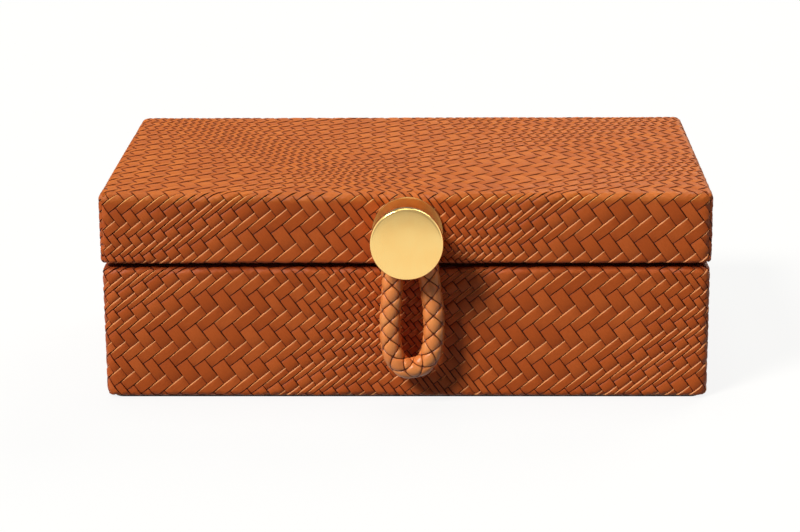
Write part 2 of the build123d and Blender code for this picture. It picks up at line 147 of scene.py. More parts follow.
def straight_braid(length):
    """The braid laid out along Z: points, quads, each quad's strand and each point's height.

    p counts the strands of one way round the cord and q those of the other. Each place where two
    strands cross is one cell of the surface, and the strand on top changes from cell to cell. The
    half added to p + q makes a row of cells face forwards."""
    points, quads, owners, heights = [], [], [], []
    around = 2 * STRANDS_EACH_WAY
    lines = np.array(STRAND_LINES)
    cell_quads = grid_quads(len(lines), len(lines))
    across = np.sqrt(1 - np.abs(2 * lines - 1) ** STRAND_SQUARENESS)
    along = 1 - STRAND_ARCH * np.abs(2 * lines - 1) ** STRAND_DIVE
    along[[0, -1]] = 0
    height = np.outer(across, along)
    for column in range(around):
        for row in range(column % 2, CROSSING_ROWS + 1, 2):
            first_p = (column - row) // 2
            first_q = (column + row) // 2
            p, q = np.meshgrid(first_p + lines, first_q + lines, indexing="ij")
            rise = height.T if column % 2 else height
            radius = (GROOVE_RADIUS + STRAND_RISE * rise).ravel()
            turn = (2 * pi * (p + q + 0.5) / around).ravel()
            z = (np.clip((q - p) / CROSSING_ROWS, 0, 1) * length).ravel()
            quads.extend(len(points) + cell_quads)
            points.extend(zip(radius * np.cos(turn), radius * np.sin(turn), z))
            heights.extend(rise.ravel())
            strand = STRANDS_EACH_WAY + first_q if column % 2 else first_p
            strand = strand % STRANDS_EACH_WAY + STRANDS_EACH_WAY * (column % 2)
            owners.extend([strand] * len(cell_quads))
    return points, quads, owners, heights


def join_cells(piece):
    """Welds the braid's cells into one closed skin and keeps the grooves between them crisp."""
    work = bmesh.new()
    work.from_mesh(piece.data)
    bmesh.ops.remove_doubles(work, verts=work.verts, dist=STRAND_WELD)
    bmesh.ops.dissolve_degenerate(work, edges=work.edges, dist=STRAND_WELD)
    bmesh.ops.holes_fill(work, edges=[edge for edge in work.edges if edge.is_boundary], sides=0)
    for edge in work.edges:
        edge.smooth = edge.calc_face_angle_signed(0) > -STRAND_GROOVE
    work.to_mesh(piece.data)
    work.free()


def set_layer(piece, name, domain, values):
    """Gives each point or face of a piece a number, for its material to read."""
    layer = piece.data.attributes.new(name, "FLOAT", domain)
    layer.data.foreach_set("value", np.array(values, np.float32))


def node_tools(tree):
    """Short ways to add a node to a tree and to feed the inputs of one that is there.

    A shader node's kind goes without its ShaderNode prefix. Inputs come as a dict of sockets: a
    plain value is set, an output is linked, and a node stands for its first output in use."""

    def feed(node, inputs):
        for key, value in inputs.items():
            if isinstance(value, bpy.types.Node):
                value = next(output for output in value.outputs if output.enabled)
            if isinstance(value, bpy.types.NodeSocket):
                tree.links.new(value, node.inputs[key])
            else:
                node.inputs[key].default_value = value
        return node

    def add(kind, inputs=None, **settings):
        made = tree.nodes.new(kind if "Node" in kind else "ShaderNode" + kind)
        for key, value in settings.items():
            setattr(made, key, value)
        return feed(made, inputs or {})

    return add, feed


def geometry_tree(name, sockets):
    """A new Geometry Nodes tree with its group input, which has these (name, kind) sockets."""
    tree = bpy.data.node_groups.new(name, "GeometryNodeTree")
    for label, kind in [("Geometry", "Geometry"), *sockets]:
        tree.interface.new_socket(label, in_out="INPUT", socket_type="NodeSocket" + kind)
    tree.interface.new_socket("Geometry", in_out="OUTPUT", socket_type="NodeSocketGeometry")
    add, _ = node_tools(tree)
    return tree, add("NodeGroupInput"), add


def end_tree(add, geometry, material):
    """Ends a tree: its instances are made real and it all gets one material."""
    realized = add("GeometryNodeRealizeInstances", {0: geometry})
    dressed = add("GeometryNodeSetMaterial", {"Geometry": realized, "Material": material})
    add("NodeGroupOutput", {0: dressed})


def follow_route_tree():
    """Bends a piece laid out along Z onto a route that lies in an upright plane facing Y."""
    sockets = [("Route", "Object"), ("Laid Out Length", "Float"), ("Leather", "Material")]
    tree, given, add = geometry_tree("braid follows route", sockets)
    route = add("GeometryNodeObjectInfo", {"Object": given.outputs["Route"]})
    part = add("SeparateXYZ", {0: add("GeometryNodeInputPosition")})
    length = given.outputs["Laid Out Length"]
    share = add("Math", {0: part.outputs["Z"], 1: length}, operation="DIVIDE")
    on_route = {"Curves": route.outputs["Geometry"], "Factor": share}
    sample = add("GeometryNodeSampleCurve", on_route, mode="FACTOR", use_all_curves=True)
    out = add("VectorMath", {0: (0, 1, 0), 1: sample.outputs["Tangent"]}, operation="CROSS_PRODUCT")
    shift_out = add("VectorMath", {0: out, "Scale": part.outputs["X"]}, operation="SCALE")
    shift_side = add("CombineXYZ", {"Y": part.outputs["Y"]})
    moved_out = add("VectorMath", {0: sample.outputs["Position"], 1: shift_out})
    moved = add("VectorMath", {0: moved_out, 1: shift_side})
    placed = {"Geometry": given.outputs["Geometry"], "Position": moved}
    end_tree(add, add("GeometryNodeSetPosition", placed), given.outputs["Leather"])
    return tree


def run_tree(piece, tree, **values):
    """Runs a tree on a piece, with its named inputs set by identifier, and keeps a plain mesh."""
    modifier = piece.modifiers.new("tree", "NODES")
    modifier.node_group = tree
    for item in tree.interface.items_tree:
        key = item.name.replace(" ", "_").lower()
        if item.in_out == "INPUT" and key in values:
            modifier[item.identifier] = values[key]
    return plain_mesh(piece)


def shader(name):
    """A new material, its surface node, and short ways to add nodes and feed them."""
    material = bpy.data.materials.new(name)
    material.use_nodes = True
    return material, material.node_tree.nodes["Principled BSDF"], *node_tools(material.node_tree)


def ramp(add, reading, stops):
    """A colour ramp with these (place, colour) stops."""
    made = add("ValToRGB", {"Fac": reading})
    elements = made.color_ramp.elements
    while len(elements) < len(stops):
        elements.new(0.5)
    for element, (place, colour) in zip(elements, stops):
        element.position = place
        element.color = (*colour, 1)
    return made


def rescale(add, reading, low, high, to_low, to_high):
    """A reading brought from the range low to high into the range to_low to to_high."""
    inputs = {"Value": reading, "From Min": low, "From Max": high, "To Min": to_low, "To Max": to_high}
    return add("MapRange", inputs)


def times(add, colour, tint):
    """A colour multiplied by a tint."""
    inputs = {"Factor": 1, "A": colour, "B": tint}
    return add("Mix", inputs, data_type="RGBA", blend_type="MULTIPLY")


def tan_leather(name, light, middle, dark, roughness, grain_size, grain_depth):
    """Smooth dyed leather: cloudy colour, a tone for each strip, and a fine grain."""
    material, principled, add, feed = shader(name)
    place = add("TexCoord").outputs["Object"]
    tone = add("Attribute", attribute_name="tone").outputs["Fac"]
    relief = add("Attribute", attribute_name="relief").outputs["Fac"]
    clouds = add("TexNoise", {"Vector": place, "Scale": 160, "Detail": 4})
    mixed = add("Math", {0: clouds, 1: 0.45, 2: tone}, operation="MULTIPLY_ADD")
    colours = ramp(add, mixed, [(0.30, dark), (0.52, middle), (0.80, light)])
    # Painted shade: darker where the strands dive into the grooves between them.
    creases = ramp(add, relief, CREASE_TINTS)
    pores = add("TexVoronoi", {"Vector": place, "Scale": grain_size})
    fine = add("TexNoise", {"Vector": place, "Scale": grain_size * 1.7, "Detail": 3})
    grain = add("Math", {0: pores, 1: fine}, operation="ADD")
    bump = add("Bump", {"Height": grain, "Strength": 0.35, "Distance": grain_depth})
    feed(
        principled,
        {
            "Base Color": times(add, colours, creases),
            "Roughness": rescale(add, clouds, 0, 1, roughness - 0.07, roughness + 0.10),
            "Specular IOR Level": 0.45,
            "Normal": bump,
        },
    )
    return material


route_places = [(x * MM, LOOP_Y, z * MM) for x, z in LOOP_ROUTE_MM]
loop_route = route_curve("loop_route", route_places, ROUTE_FINENESS)
loop_line = curve_points(loop_route)
loop_length = sum((b - a).length for a, b in zip(loop_line, loop_line[1:]))
braid_points, braid_quads, braid_owners, braid_heights = straight_braid(loop_length)
cord_leather = tan_leather(
    "cord_leather", (1.0, 0.44, 0.155), (1.0, 0.35, 0.097), (0.88, 0.25, 0.060), 0.34, 900, 0.00010
)
pull_loop = mesh_piece("braided_pull_loop", braid_points, braid_quads)
set_layer(pull_loop, "relief", "POINT", braid_heights)
strand_tones = np.random.default_rng(STRAND_TONE_SEED).uniform(*STRAND_TONES, 2 * STRANDS_EACH_WAY)
set_layer(pull_loop, "tone", "FACE", strand_tones[braid_owners])
join_cells(pull_loop)
run_tree(
    pull_loop,
    follow_route_tree(),
    route=loop_route,
    laid_out_length=loop_length,
    leather=cord_leather,
)
bpy.data.objects.remove(loop_route)
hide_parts("pull_loop")
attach(pull_loop, "loop")
tuple(loop_line[0])

# ---------------------------------------------------------------- woven covers
# Flat leather strips in a 2/2 twill, pressed into one sheet. One set of strips rises to the right
# and the other falls. Their widths swell and shrink in a slow repeat across the sheet.
RISING_ANGLE = radians(38.4)
FALLING_ANGLE = radians(36.0)
STRIP_RELIEF = 0.85 * MM
STRIP_PROUD = 0.15 * MM
RISING_SIDES = (0.18 * MM, 0.45 * MM)
FALLING_SIDES = (0.20 * MM, 0.20 * MM)
STRIP_JITTER = 0.04
TUCK_LEVEL = 0.28
ARCH = 0.52
ARCH_DIVE = 3
CROWN = 0.10
WIDTHS_OVERTONE = 0.07
SHARP_GROOVE = radians(20)
SHARP_EDGE = radians(40)
CORNER_RADIUS = 4.0 * MM
COVER_EDGE = 6.2 * MM
SPARE_STRIPS = 4
MOST_LOW_SIDE = 0.12
MOST_HIGH_SIDE = 0.24
TONE_SEED = 11
TONES = 4096
TONE_STEPS = (73, 151, 997)
COVER_WELD = 0.002 * MM
TOUCHING = 1e-7
STRIP_MAP_SCALE = 100
# How faint the painted shade along the falling strips' sides is: their low-side reading starts here at
# the edge.
FALLING_SIDE_SHADE = 0.45
FAR_FROM_EDGE = 9
BODY_COLOURS = [
    (0.15, (0.435, 0.074, 0.009)),
    (0.50, (0.525, 0.098, 0.013)),
    (0.85, (0.63, 0.135, 0.024)),
]
# Painted shade darkens the grooves between the floats and the ends that dive under them; a faint
# painted sheen lightens the floats' highest parts.
GROOVE_TINTS = [
    (0.0, (0.05, 0.018, 0.009)),
    (0.32, (0.26, 0.155, 0.105)),
    (0.54, (0.93, 0.90, 0.88)),
    (0.95, (1.07, 1.08, 1.10)),
]
# Painted shade along each rising strip's low edge, and more faintly along both sides of each falling
# strip.
LOW_SIDE_TINTS = [(0.0, (0.10, 0.05, 0.03)), (0.20, (0.36, 0.26, 0.21)), (0.40, (1, 1, 1))]
# Painted highlight: a lighter band just inside the high edge of each rising strip, on that side only.
HIGH_SIDE_WEAR = [(0.0, 0), (0.08, 0.9), (0.22, 0.9), (0.32, 0)]
WORN_COLOUR = (0.90, 0.36, 0.13, 1)
# Painted light by height: painted shadow darkens the leather beside the gap between lid and base, a
# painted highlight lightens the lid's rounded top edge, and its flat top gets a painted yellow sheen.
TINTS_BY_HEIGHT_MM = (
    (54.9, (1, 1, 1)),
    (55.9, (1, 1, 1)),
    (56.7, (0.55, 0.42, 0.38)),
    (59.3, (0.55, 0.42, 0.38)),
    (60.1, (1, 1, 1)),
    (84.5, (1, 1, 1)),
    (86.6, (1.06, 1.30, 1.20)),
    (87.9, (1.06, 1.30, 1.20)),
    (88.2, (1.02, 1.21, 0.80)),
    (88.9, (1.02, 1.21, 0.80)),
)


def strip_edges(low, high, seed, repeat, strips, swing, narrow_at, lead, even_past, even_width):
    """Edges of side-by-side strips, and their numbers counted from the narrowest place.

    swing is how far an edge is moved along from an even spacing, and lead is the share of a strip
    by which edge 0 is past the narrowest place. Past even_past the strips are all even_width wide."""
    first = floor((low - narrow_at) / repeat) * strips - SPARE_STRIPS
    last = ceil((high - narrow_at) / repeat) * strips + SPARE_STRIPS
    last += ceil(max(0, high - even_past) / even_width)
    numbers = np.arange(first, last + 1)
    turn = 2 * pi * (numbers + lead) / strips
    edges = narrow_at + repeat * (numbers + lead) / strips
    edges += swing * (WIDTHS_OVERTONE * np.sin(2 * turn) - np.sin(turn))
    swaying = np.searchsorted(edges, even_past)
    edges[swaying:] = edges[swaying - 1] + even_width * np.arange(1, len(edges) - swaying + 1)
    widths = np.diff(edges)
    shake = np.random.default_rng(seed).uniform(-STRIP_JITTER, STRIP_JITTER, len(edges))
    edges[1:-1] += shake[1:-1] * np.minimum(widths[1:], widths[:-1])
    margin = repeat / 8
    keep = (edges > low - margin) & (edges < high + margin)
    return edges[keep], numbers[keep]


def side_shares(edges, low_side, high_side):
    """The shares of each strip's width taken up by its low side and by its high side."""
    widths = np.diff(edges)
    low_share = np.minimum(low_side / widths, MOST_LOW_SIDE)
    return low_share, np.minimum(high_side / widths, MOST_HIGH_SIDE)


def grid_lines(edges, sides):
    """Grid lines through each strip: its low edge, the top of each side, and the middle."""
    widths = np.diff(edges)
    low_share, high_share = side_shares(edges, *sides)
    share = np.stack([np.zeros_like(widths), low_share, np.full_like(widths, 0.5), 1 - high_share], 1)
    lines = edges[:-1, None] + share * widths[:, None]
    strip_of = np.repeat(np.arange(len(widths)), share.shape[1])
    return lines.ravel(), strip_of, share.ravel()


def flat_to_strips(x, y):
    """Distances across the falling strips (s) and across the rising strips (t)."""
    s = x * cos(FALLING_ANGLE) + y * sin(FALLING_ANGLE)
    t = -x * sin(RISING_ANGLE) + y * cos(RISING_ANGLE)
    return s, t


def strips_to_flat(s, t):
    """The place on the flat sheet at these distances across the two sets of strips."""
    spread = cos(FALLING_ANGLE - RISING_ANGLE)
    x = (s * cos(RISING_ANGLE) - t * sin(FALLING_ANGLE)) / spread
    y = (s * sin(RISING_ANGLE) + t * cos(FALLING_ANGLE)) / spread
    return x, y


def woven_sheet(falling, rising, shift, low, high, seed):
    """A flat woven sheet over the box low to high: grid lines, heights and strip numbers.

    Each float of a rising or falling strip runs over two strips of the other set. It is arched
    along its length, dives under its neighbours at both ends, and has bevelled sides."""
    corners = np.array([(x, y) for x in (low[0], high[0]) for y in (low[1], high[1])])
    s_span, t_span = flat_to_strips(corners[:, 0], corners[:, 1])
    s_edges, s_numbers = strip_edges(s_span.min(), s_span.max(), seed, **falling)
    t_edges, t_numbers = strip_edges(t_span.min(), t_span.max(), seed + 1, **rising)
    s_lines, s_strip, s_share = grid_lines(s_edges, FALLING_SIDES)
    t_lines, t_strip, t_share = grid_lines(t_edges, RISING_SIDES)
    phase = (s_numbers[s_strip][:, None] + t_numbers[t_strip][None, :] + shift) % 4
    rising_on_top = phase < 2
    later_half = phase % 2 == 1
    s_share = s_share[:, None] * np.ones(phase.shape)
    t_share = t_share[None, :] * np.ones(phase.shape)
    along = np.where(rising_on_top, s_share, t_share) / 2 + later_half / 2
    across = np.where(rising_on_top, t_share, s_share)
    arch = 1 - ARCH * np.abs(2 * along - 1) ** ARCH_DIVE
    height = arch * (1 - CROWN + CROWN * np.sin(pi * across))
    at_s_line = s_share == 0
    at_t_line = t_share == 0
    s_joint = at_s_line & rising_on_top & later_half
    t_joint = at_t_line & ~rising_on_top & later_half
    s_side_by_side = at_s_line & (phase == 3)
    t_side_by_side = at_t_line & (phase == 1)
    height = np.where(at_s_line & ~s_joint, TUCK_LEVEL, height)
    height = np.where(at_t_line & ~t_joint, TUCK_LEVEL, height)
    height = np.where(s_side_by_side | t_side_by_side | (at_s_line & at_t_line), 0.0, height)
    return s_lines, t_lines, height * STRIP_RELIEF, (s_edges, s_numbers, t_edges, t_numbers, shift)


def sheet_mesh(weave, low, high, cuts):
    """The part of the weave between low and high as a bmesh in sheet coordinates."""
    s_lines, t_lines, height, _ = weave
    x, y = strips_to_flat(s_lines[:, None], t_lines[None, :])
    quads = grid_quads(len(s_lines), len(t_lines))
    flat_x, flat_y = x.ravel(), y.ravel()
    keep = (
        (flat_x[quads].max(1) > low[0])
        & (flat_x[quads].min(1) < high[0])
        & (flat_y[quads].max(1) > low[1])
        & (flat_y[quads].min(1) < high[1])
    )
    quads = quads[keep]
    used, faces = np.unique(quads, return_inverse=True)
    faces = faces.reshape(quads.shape)
    vertices = np.stack([flat_x, flat_y, height.ravel()], 1)[used]
    mesh = bpy.data.meshes.new("sheet")
    mesh.from_pydata(vertices.tolist(), [], faces.tolist())
    sheet = bmesh.new()
    sheet.from_mesh(mesh)
    bpy.data.meshes.remove(mesh)
    for axis, value, clear in cuts:
        where = (value, 0, 0) if axis == 0 else (0, value, 0)
        way = (1, 0, 0) if axis == 0 else (0, 1, 0)
        bmesh.ops.bisect_plane(
            sheet,
            geom=sheet.verts[:] + sheet.edges[:] + sheet.faces[:],
            dist=TOUCHING,
            plane_co=where,
            plane_no=way,
            clear_outer=clear > 0,
            clear_inner=clear < 0,
        )
    return sheet


def wall_place(along, inset, half_width, half_depth):
    """Plan position and outward direction at a distance along the outline from the front's middle.

    inset is the distance in from the outline. Past the corner radius the corners are mitred."""
    straight_x = half_width - CORNER_RADIUS
    straight_y = half_depth - CORNER_RADIUS
    bend = CORNER_RADIUS * pi / 2
    sides = [2 * straight_y, bend, 2 * straight_x, bend, 2 * straight_y]
    stops = np.cumsum([0, straight_x, bend, *sides, bend, straight_x])
    place = np.mod(along, stops[-1])
    turn, core_x, core_y = np.zeros((3, len(place)))
    starts = [(0, -1), (1, -1), (1, 1), (-1, 1), (-1, -1)]
    for leg in range(9):
        inside = (place >= stops[leg]) & (place <= stops[leg + 1])
        far = place - stops[leg]
        straight, bent = (0, far) if leg % 2 else (far, 0)
        heading = (leg // 2) * pi / 2
        x_sign, y_sign = starts[(leg + 1) // 2]
        turn = np.where(inside, heading - pi / 2 + bent / CORNER_RADIUS, turn)
        core_x = np.where(inside, x_sign * straight_x + straight * cos(heading), core_x)
        core_y = np.where(inside, y_sign * straight_y + straight * sin(heading), core_y)
    extra = np.maximum(inset - CORNER_RADIUS, 0)
    core_x = np.clip(core_x, -(straight_x - extra), straight_x - extra)
    core_y = np.clip(core_y, -(straight_y - extra), straight_y - extra)
    reach = np.maximum(CORNER_RADIUS - inset, 0)
    return core_x + reach * np.cos(turn), core_y + reach * np.sin(turn), np.cos(turn), np.sin(turn)


def on_wall(along, inset, height, slope, proud, half_width, half_depth):
    """Points on a box's wall, moved out along its slope by as much as they stand proud."""
    x, y, out_x, out_y = wall_place(along, inset, half_width, half_depth)
    out = proud * np.cos(slope)
    return np.stack([x + out_x * out, y + out_y * out, height + proud * np.sin(slope)], 1)


def section(distance, pieces):
    """Inset, height and outward slope at a distance along a cover's cross-section.

    pieces is a list of (length, start inset, start height, start direction, bend radius), where
    the direction is the angle of travel, 0 outwards and 90 degrees up."""
    distance = np.clip(distance, 0, sum(piece[0] for piece in pieces))
    inset, height, slope = np.zeros((3, len(distance)))
    start = 0.0
    for length, inset_0, height_0, heading, radius in pieces:
        here = (distance >= start - TOUCHING) & (distance <= start + length + TOUCHING)
        far = distance - start
        if radius == 0:
            out, up, turned = far * cos(heading), far * sin(heading), heading
        else:
            turned = heading + far / radius
            out = radius * (np.sin(turned) - sin(heading))
            up = radius * (cos(heading) - np.cos(turned))
        inset = np.where(here, inset_0 - out, inset)
        height = np.where(here, height_0 + up, height)
        slope = np.where(here, turned - pi / 2, slope)
        start += length
    return inset, height, slope


def sides_away(across, edges, strip, sides):
    """How far each corner is from its strip's low and high edge, counted in that side's width."""
    low_share, high_share = side_shares(edges, *sides)
    share = (across - edges[strip]) / (edges[strip + 1] - edges[strip])
    return share / low_share[strip], (1 - share) / high_share[strip]


def finish_cover(name, sheets, weave, material):
    """One cover piece from (bmesh, placing function) pairs, with its layers and maps.

    "tone" is one number for each float and "relief" is a point's height in the weave. The map
    "strips" runs along and across each strip, and "sides" tells how far its two edges are."""
    s_edges, s_numbers, t_edges, t_numbers, shift = weave[3]
    flats, places, faces = [], [], []
    for sheet, put in sheets:
        sheet.verts.index_update()
        start = sum(len(flat) for flat in flats)
        faces += [[start + vertex.index for vertex in face.verts] for face in sheet.faces]
        flats.append(np.array([vertex.co for vertex in sheet.verts]))
        places.append(put(flats[-1]))
        sheet.free()
    flat = np.concatenate(flats)
    sizes = np.array([len(face) for face in faces])
    face_of = np.repeat(np.arange(len(faces)), sizes)
    corner_s, corner_t = flat_to_strips(*flat[np.concatenate(faces), :2].T)
    s_strip = np.searchsorted(s_edges, np.bincount(face_of, corner_s) / sizes) - 1
    t_strip = np.searchsorted(t_edges, np.bincount(face_of, corner_t) / sizes) - 1
    i, j = s_numbers[s_strip], t_numbers[t_strip]
    phase = (i + j + shift) % 4
    rising = phase < 2
    later_half = phase % 2 == 1
    float_numbers = np.stack([i - (rising & later_half), j - (~rising & later_half), rising], 1)
    tone_of = np.random.default_rng(TONE_SEED).uniform(0, 1, TONES)
    s_low, s_high = sides_away(corner_s, s_edges, s_strip[face_of], FALLING_SIDES)
    t_low, t_high = sides_away(corner_t, t_edges, t_strip[face_of], RISING_SIDES)
    # The falling strips get painted shade on both sides and no painted highlight, as their high side is
    # set far from any edge.
    falling_low = FALLING_SIDE_SHADE + (1 - FALLING_SIDE_SHADE) * np.minimum(s_low, s_high)
    falling_high = np.full_like(s_high, FAR_FROM_EDGE)
    rises = rising[face_of]
    side_map = np.where(rises, [t_low, t_high], [falling_low, falling_high]).T
    strip_map = np.where(rises, [corner_s, corner_t], [corner_t, corner_s]).T * STRIP_MAP_SCALE
    piece = mesh_piece(name, np.concatenate(places), faces)
    mesh = piece.data
    set_layer(piece, "tone", "FACE", tone_of[float_numbers @ TONE_STEPS % TONES])
    set_layer(piece, "relief", "POINT", flat[:, 2] / STRIP_RELIEF)
    for label, uv in (("strips", strip_map), ("sides", side_map)):
        mesh.uv_layers.new(name=label).data.foreach_set("uv", uv.astype(np.float32).ravel())
    merged = bmesh.new()
    merged.from_mesh(mesh)
    bmesh.ops.remove_doubles(merged, verts=merged.verts, dist=COVER_WELD)
    bmesh.ops.dissolve_degenerate(merged, edges=merged.edges, dist=COVER_WELD)
    for edge in merged.edges:
        bend = edge.calc_face_angle_signed(0) if edge.is_manifold else 0
        edge.smooth = -SHARP_GROOVE < bend < SHARP_EDGE
    merged.to_mesh(mesh)
    merged.free()
    mesh.materials.append(material)
    piece.modifiers.new("flat tops", "WEIGHTED_NORMAL").keep_sharp = True
    return plain_mesh(piece)


def weighted_sum(add, *terms):
    """The sum of (reading, weight) pairs."""
    reading, weight = terms[0]
    total = add("Math", {0: reading, 1: weight}, operation="MULTIPLY")
    for reading, weight in terms[1:]:
        total = add("Math", {0: reading, 1: weight, 2: total}, operation="MULTIPLY_ADD")
    return total


def woven_leather(name):
    """Tan leather strips: painted shade in the grooves and along the strips' edges, a painted highlight
    along the rising strips' high edges, painted light by height, and fine creases along them.
    """
    material, principled, add, feed = shader(name)
    place = add("TexCoord").outputs["Object"]
    tone = add("Attribute", attribute_name="tone").outputs["Fac"]
    relief = add("Attribute", attribute_name="relief").outputs["Fac"]
    along = add("UVMap", uv_map="strips")
    stretched = add("Mapping", {"Vector": along, "Scale": (0.25, 1.0, 1.0)})
    creases = add("TexNoise", {"Vector": stretched, "Scale": 22, "Detail": 4})
    clouds = add("TexNoise", {"Vector": place, "Scale": 60, "Detail": 5})
    body = ramp(add, weighted_sum(add, (tone, 0.4), (creases, 0.5), (clouds, 0.2)), BODY_COLOURS)
    # Painted shade in the grooves and a faint painted sheen on the tops, read from the relief.
    grooved = times(add, body, ramp(add, relief, GROOVE_TINTS))
    sides = add("SeparateXYZ", {0: add("UVMap", uv_map="sides")})
    from_low = weighted_sum(add, (sides.outputs["X"], 0.25))
    from_high = weighted_sum(add, (sides.outputs["Y"], 0.25))
    # Painted shade along the strips' low edges.
    sided = times(add, grooved, ramp(add, from_low, LOW_SIDE_TINTS))
    # Painted highlight along the rising strips' high edges.
    wear = ramp(add, from_high, [(at, (grey, grey, grey)) for at, grey in HIGH_SIDE_WEAR])
    worn = add("Mix", {"Factor": wear, "A": sided, "B": WORN_COLOUR}, data_type="RGBA")
    # Painted shadow beside the lid's gap, and painted highlight and sheen at the lid's top, by height.
    height = add("SeparateXYZ", {0: place}).outputs["Z"]
    lowest, highest = TINTS_BY_HEIGHT_MM[0][0], TINTS_BY_HEIGHT_MM[-1][0]
    share_up = rescale(add, height, lowest * MM, highest * MM, 0, 1)
    tints = [((at - lowest) / (highest - lowest), tint) for at, tint in TINTS_BY_HEIGHT_MM]
    pores = add("TexVoronoi", {"Vector": place, "Scale": 1400})
    grain = add("Math", {0: pores, 1: 0.35, 2: creases}, operation="MULTIPLY_ADD")
    bump = add("Bump", {"Height": grain, "Strength": 0.5, "Distance": 0.00012})
    feed(
        principled,
        {
            "Base Color": times(add, worn, ramp(add, share_up, tints)),
            "Roughness": rescale(add, creases, 0, 1, 0.42, 0.60),
            "Specular IOR Level": 0.3,
            "Normal": bump,
        },
    )
    return material


cover_leather = woven_leather("woven_leather")

# ---------------------------------------------------------------- base cover
# One woven band glued round the base's boards, with its joint in the middle of the back. It turns
# in over the rim and 14 mm under the floor board.
base_low, base_high = (Vector(corner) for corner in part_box("base_cover"))
base_half_width, base_half_depth = base_high.x, base_high.y
BASE_FOOT_ROUNDING = 2.0 * MM
BASE_RIM_ROUNDING = 2.2 * MM
TURN_UNDER = 14.0 * MM
under_flat = TURN_UNDER - BASE_FOOT_ROUNDING
foot_bend = BASE_FOOT_ROUNDING * pi / 2
rim_bend = BASE_RIM_ROUNDING * pi / 2
wall_rise = base_high.z - base_low.z - BASE_FOOT_ROUNDING - BASE_RIM_ROUNDING
rim_flat = COVER_EDGE - BASE_RIM_ROUNDING
base_section = [
    (under_flat, TURN_UNDER, base_low.z, 0.0, 0.0),
    (foot_bend, BASE_FOOT_ROUNDING, base_low.z, 0.0, BASE_FOOT_ROUNDING),
    (wall_rise, 0.0, base_low.z + BASE_FOOT_ROUNDING, pi / 2, 0.0),
    (rim_bend, 0.0, base_high.z - BASE_RIM_ROUNDING, pi / 2, BASE_RIM_ROUNDING),
    (rim_flat, BASE_RIM_ROUNDING, base_high.z, pi, 0.0),
]
# The sheet's y is the height on the wall, so it starts below zero under the floor.
base_sheet_foot = base_low.z + BASE_FOOT_ROUNDING - under_flat - foot_bend
base_sheet_top = base_sheet_foot + sum(piece[0] for piece in base_section)
base_around = 4 * (base_half_width + base_half_depth - 2 * CORNER_RADIUS) + 2 * pi * CORNER_RADIUS


def put_base_band(flat):
    """Wraps the flat band's points round the base."""
    inset, height, slope = section(flat[:, 1] - base_sheet_foot, base_section)
    proud = flat[:, 2] - STRIP_RELIEF + STRIP_PROUD
    return on_wall(flat[:, 0], inset, height, slope, proud, base_half_width, base_half_depth)


base_span_low = (-base_around / 2, base_sheet_foot)
base_span_high = (base_around / 2, base_sheet_top)
base_falling = dict(
    repeat=126.7 * MM, strips=32, swing=10.6 * MM, narrow_at=13.7 * MM, lead=0.66,
    even_past=np.inf, even_width=3.0 * MM,
)
base_rising = dict(
    repeat=82.9 * MM, strips=25, swing=5.6 * MM, narrow_at=-54.1 * MM, lead=0.69,
    even_past=np.inf, even_width=2.6 * MM,
)
BASE_TWILL_SHIFT = 3
BASE_SEED = 21
base_weave = woven_sheet(
    base_falling, base_rising, BASE_TWILL_SHIFT, base_span_low, base_span_high, BASE_SEED
)


def side_cuts(low, high):
    """Cuts along the four sides of a flat sheet."""
    return [(0, low[0], -1), (0, high[0], 1), (1, low[1], -1), (1, high[1], 1)]


foot_start = base_sheet_foot + under_flat
rim_end = base_sheet_top - rim_flat
base_bends = [foot_start, foot_start + foot_bend / 2, foot_start + foot_bend]
base_bends += [rim_end, rim_end - rim_bend / 2, rim_end - rim_bend]
base_cuts = side_cuts(base_span_low, base_span_high) + [(1, height, 0) for height in base_bends]
base_sheet = sheet_mesh(base_weave, base_span_low, base_span_high, base_cuts)
base_cover = finish_cover("woven_base_cover", [(base_sheet, put_base_band)], base_weave, cover_leather)
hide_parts("base_cover")
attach(base_cover, "base")

# ---------------------------------------------------------------- lid cover
# One woven sheet glued over the lid's top, folded down on all four sides and turned in over the
# lower rim. It is cut at the corners, and the cut edges meet down the middle of each corner.
lid_low, lid_high = (Vector(corner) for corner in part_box("lid_cover"))
lid_half_width, lid_half_depth = lid_high.x, lid_high.y
LID_TOP_ROUNDING = 3.0 * MM
LID_RIM_ROUNDING = 1.5 * MM
flat_half_width = lid_half_width - LID_TOP_ROUNDING
flat_half_depth = lid_half_depth - LID_TOP_ROUNDING
top_bend = LID_TOP_ROUNDING * pi / 2
lid_rim_bend = LID_RIM_ROUNDING * pi / 2
lid_drop = lid_high.z - lid_low.z - LID_TOP_ROUNDING - LID_RIM_ROUNDING
lid_rim_flat = COVER_EDGE - LID_RIM_ROUNDING
# Seen from the front edge of the flat top: over the edge, down, and in under the rim. Angles of
# travel turn the other way from the base's, so the section is built upside down and flipped.
flap_section = [
    (top_bend, LID_TOP_ROUNDING, 0.0, 0.0, LID_TOP_ROUNDING),
    (lid_drop, 0.0, LID_TOP_ROUNDING, pi / 2, 0.0),
    (lid_rim_bend, 0.0, LID_TOP_ROUNDING + lid_drop, pi / 2, LID_RIM_ROUNDING),
    (lid_rim_flat, LID_RIM_ROUNDING, lid_high.z - lid_low.z, pi, 0.0),
]
flap_length = sum(piece[0] for piece in flap_section)
corner_half = CORNER_RADIUS * pi / 4
flap_half_width = lid_half_width - CORNER_RADIUS + corner_half
flap_half_depth = lid_half_depth - CORNER_RADIUS + corner_half
SEAM_TAPER = 0.5 * MM
SEAM_LEAST = 0.25


